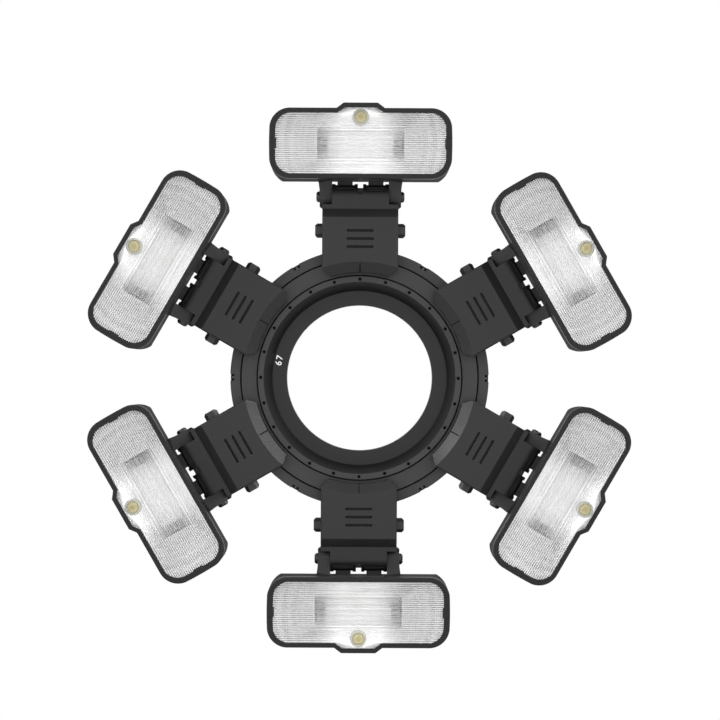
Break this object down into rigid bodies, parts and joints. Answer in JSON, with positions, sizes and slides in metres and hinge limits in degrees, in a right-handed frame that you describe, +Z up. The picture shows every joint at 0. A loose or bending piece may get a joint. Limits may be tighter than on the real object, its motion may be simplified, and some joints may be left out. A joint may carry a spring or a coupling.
{
  "type": "macro ring flash",
  "caption": "Macro ring flash for a camera lens: clip arms slide on a threaded lens ring and carry tilting flash heads with ribbed windows, click hinges and pinch releases.",
  "frame": {"origin": "on the lens axis, in the plane where the adapter's flange seats on the lens rim", "axes": "+Y along the lens axis towards the camera, the flash heads face -Y, +Z up, +X to the right seen from the front"},
  "size_m": [0.2366, 0.036, 0.2394],
  "materials": {
    "adapter_black": "black anodised, satin",
    "ring_plastic": "fine satin black",
    "rail_black": "black anodised, fine blasted",
    "screw_steel": "plain",
    "arm_plastic": "fine textured black",
    "button_plastic": "satin black",
    "pin_steel": "blackened",
    "shell_plastic": "fine textured black",
    "bezel_plastic": "satin black",
    "window_clear": "clear, prismatic ribs on the inside",
    "reflector_bright": "bright polished"
  },
  "bodies": {
    "ring": {"lens_adapter": "adapter_black", "index_ring": "ring_plastic", "rail_ring": "rail_black", "back_ring": "rail_black", "rim_screws": "screw_steel"},
    "clip_arm_1": {"arm_1": "arm_plastic"},
    "clip_jaw_1": {"jaw_1": "arm_plastic"},
    "button_left_1": {"release_left_1": "button_plastic"},
    "button_right_1": {"release_right_1": "button_plastic"},
    "flash_head_1": {"head_shell_1": "shell_plastic", "bezel_1": "bezel_plastic", "window_1": "window_clear", "flash_core_1": "reflector_bright", "hinge_pin_1": "pin_steel"},
    "clip_arm_2": {"arm_2": "arm_plastic"},
    "clip_jaw_2": {"jaw_2": "arm_plastic"},
    "button_left_2": {"release_left_2": "button_plastic"},
    "button_right_2": {"release_right_2": "button_plastic"},
    "flash_head_2": {"head_shell_2": "shell_plastic", "bezel_2": "bezel_plastic", "window_2": "window_clear", "flash_core_2": "reflector_bright", "hinge_pin_2": "pin_steel"},
    "clip_arm_3": {"arm_3": "arm_plastic"},
    "clip_jaw_3": {"jaw_3": "arm_plastic"},
    "button_left_3": {"release_left_3": "button_plastic"},
    "button_right_3": {"release_right_3": "button_plastic"},
    "flash_head_3": {"head_shell_3": "shell_plastic", "bezel_3": "bezel_plastic", "window_3": "window_clear", "flash_core_3": "reflector_bright", "hinge_pin_3": "pin_steel"},
    "clip_arm_4": {"arm_4": "arm_plastic"},
    "clip_jaw_4": {"jaw_4": "arm_plastic"},
    "button_left_4": {"release_left_4": "button_plastic"},
    "button_right_4": {"release_right_4": "button_plastic"},
    "flash_head_4": {"head_shell_4": "shell_plastic", "bezel_4": "bezel_plastic", "window_4": "window_clear", "flash_core_4": "reflector_bright", "hinge_pin_4": "pin_steel"},
    "clip_arm_5": {"arm_5": "arm_plastic"},
    "clip_jaw_5": {"jaw_5": "arm_plastic"},
    "button_left_5": {"release_left_5": "button_plastic"},
    "button_right_5": {"release_right_5": "button_plastic"},
    "flash_head_5": {"head_shell_5": "shell_plastic", "bezel_5": "bezel_plastic", "window_5": "window_clear", "flash_core_5": "reflector_bright", "hinge_pin_5": "pin_steel"},
    "clip_arm_6": {"arm_6": "arm_plastic"},
    "clip_jaw_6": {"jaw_6": "arm_plastic"},
    "button_left_6": {"release_left_6": "button_plastic"},
    "button_right_6": {"release_right_6": "button_plastic"},
    "flash_head_6": {"head_shell_6": "shell_plastic", "bezel_6": "bezel_plastic", "window_6": "window_clear", "flash_core_6": "reflector_bright", "hinge_pin_6": "pin_steel"}
  },
  "joints": [
    {"name": "orbit_1", "type": "hinge", "parent": "ring", "child": "clip_arm_1", "pos_m": [0, 0, 0], "axis": [0, 1, 0], "range_deg": [-5, 5]},
    {"name": "tilt_1", "type": "hinge", "parent": "clip_arm_1", "child": "flash_head_1", "pos_m": [0, -0.00925, 0.0798], "axis": [1, 0, 0], "range_deg": [-15, 45]},
    {"name": "release_left_1", "type": "slide", "parent": "clip_arm_1", "child": "button_left_1", "axis": [1, 0, 0], "range_m": [0, 0.002], "stiffness_N_per_m": 600},
    {"name": "release_right_1", "type": "slide", "parent": "clip_arm_1", "child": "button_right_1", "axis": [-1, 0, 0], "range_m": [0, 0.002], "stiffness_N_per_m": 600},
    {"name": "jaw_1", "type": "slide", "parent": "clip_arm_1", "child": "clip_jaw_1", "axis": [0, 1, 0], "range_m": [0, 0.002], "stiffness_N_per_m": 400},
    {"name": "orbit_2", "type": "hinge", "parent": "ring", "child": "clip_arm_2", "pos_m": [0, 0, 0], "axis": [0, 1, 0], "range_deg": [-5, 5]},
    {"name": "tilt_2", "type": "hinge", "parent": "clip_arm_2", "child": "flash_head_2", "pos_m": [0.06911, -0.00925, 0.0399], "axis": [0.5, 0, -0.866], "range_deg": [-15, 45]},
    {"name": "release_left_2", "type": "slide", "parent": "clip_arm_2", "child": "button_left_2", "axis": [0.5, 0, -0.866], "range_m": [0, 0.002], "stiffness_N_per_m": 600},
    {"name": "release_right_2", "type": "slide", "parent": "clip_arm_2", "child": "button_right_2", "axis": [-0.5, 0, 0.866], "range_m": [0, 0.002], "stiffness_N_per_m": 600},
    {"name": "jaw_2", "type": "slide", "parent": "clip_arm_2", "child": "clip_jaw_2", "axis": [0, 1, 0], "range_m": [0, 0.002], "stiffness_N_per_m": 400},
    {"name": "orbit_3", "type": "hinge", "parent": "ring", "child": "clip_arm_3", "pos_m": [0, 0, 0], "axis": [0, 1, 0], "range_deg": [-5, 5]},
    {"name": "tilt_3", "type": "hinge", "parent": "clip_arm_3", "child": "flash_head_3", "pos_m": [0.06911, -0.00925, -0.0399], "axis": [-0.5, 0, -0.866], "range_deg": [-15, 45]},
    {"name": "release_left_3", "type": "slide", "parent": "clip_arm_3", "child": "button_left_3", "axis": [-0.5, 0, -0.866], "range_m": [0, 0.002], "stiffness_N_per_m": 600},
    {"name": "release_right_3", "type": "slide", "parent": "clip_arm_3", "child": "button_right_3", "axis": [0.5, 0, 0.866], "range_m": [0, 0.002], "stiffness_N_per_m": 600},
    {"name": "jaw_3", "type": "slide", "parent": "clip_arm_3", "child": "clip_jaw_3", "axis": [0, 1, 0], "range_m": [0, 0.002], "stiffness_N_per_m": 400},
    {"name": "orbit_4", "type": "hinge", "parent": "ring", "child": "clip_arm_4", "pos_m": [0, 0, 0], "axis": [0, 1, 0], "range_deg": [-5, 5]},
    {"name": "tilt_4", "type": "hinge", "parent": "clip_arm_4", "child": "flash_head_4", "pos_m": [0, -0.00925, -0.0798], "axis": [-1, 0, 0], "range_deg": [-15, 45]},
    {"name": "release_left_4", "type": "slide", "parent": "clip_arm_4", "child": "button_left_4", "axis": [-1, 0, 0], "range_m": [0, 0.002], "stiffness_N_per_m": 600},
    {"name": "release_right_4", "type": "slide", "parent": "clip_arm_4", "child": "button_right_4", "axis": [1, 0, 0], "range_m": [0, 0.002], "stiffness_N_per_m": 600},
    {"name": "jaw_4", "type": "slide", "parent": "clip_arm_4", "child": "clip_jaw_4", "axis": [0, 1, 0], "range_m": [0, 0.002], "stiffness_N_per_m": 400},
    {"name": "orbit_5", "type": "hinge", "parent": "ring", "child": "clip_arm_5", "pos_m": [0, 0, 0], "axis": [0, 1, 0], "range_deg": [-5, 5]},
    {"name": "tilt_5", "type": "hinge", "parent": "clip_arm_5", "child": "flash_head_5", "pos_m": [-0.06911, -0.00925, -0.0399], "axis": [-0.5, 0, 0.866], "range_deg": [-15, 45]},
    {"name": "release_left_5", "type": "slide", "parent": "clip_arm_5", "child": "button_left_5", "axis": [-0.5, 0, 0.866], "range_m": [0, 0.002], "stiffness_N_per_m": 600},
    {"name": "release_right_5", "type": "slide", "parent": "clip_arm_5", "child": "button_right_5", "axis": [0.5, 0, -0.866], "range_m": [0, 0.002], "stiffness_N_per_m": 600},
    {"name": "jaw_5", "type": "slide", "parent": "clip_arm_5", "child": "clip_jaw_5", "axis": [0, 1, 0], "range_m": [0, 0.002], "stiffness_N_per_m": 400},
    {"name": "orbit_6", "type": "hinge", "parent": "ring", "child": "clip_arm_6", "pos_m": [0, 0, 0], "axis": [0, 1, 0], "range_deg": [-5, 5]},
    {"name": "tilt_6", "type": "hinge", "parent": "clip_arm_6", "child": "flash_head_6", "pos_m": [-0.06911, -0.00925, 0.0399], "axis": [0.5, 0, 0.866], "range_deg": [-15, 45]},
    {"name": "release_left_6", "type": "slide", "parent": "clip_arm_6", "child": "button_left_6", "axis": [0.5, 0, 0.866], "range_m": [0, 0.002], "stiffness_N_per_m": 600},
    {"name": "release_right_6", "type": "slide", "parent": "clip_arm_6", "child": "button_right_6", "axis": [-0.5, 0, -0.866], "range_m": [0, 0.002], "stiffness_N_per_m": 600},
    {"name": "jaw_6", "type": "slide", "parent": "clip_arm_6", "child": "clip_jaw_6", "axis": [0, 1, 0], "range_m": [0, 0.002], "stiffness_N_per_m": 400}
  ],
  "couplings": [
    {"joint": "release_right_1", "follows": "release_left_1", "ratio": 1},
    {"joint": "jaw_1", "follows": "release_left_1", "ratio": 1},
    {"joint": "release_right_2", "follows": "release_left_2", "ratio": 1},
    {"joint": "jaw_2", "follows": "release_left_2", "ratio": 1},
    {"joint": "release_right_3", "follows": "release_left_3", "ratio": 1},
    {"joint": "jaw_3", "follows": "release_left_3", "ratio": 1},
    {"joint": "release_right_4", "follows": "release_left_4", "ratio": 1},
    {"joint": "jaw_4", "follows": "release_left_4", "ratio": 1},
    {"joint": "release_right_5", "follows": "release_left_5", "ratio": 1},
    {"joint": "jaw_5", "follows": "release_left_5", "ratio": 1},
    {"joint": "release_right_6", "follows": "release_left_6", "ratio": 1},
    {"joint": "jaw_6", "follows": "release_left_6", "ratio": 1}
  ]
}
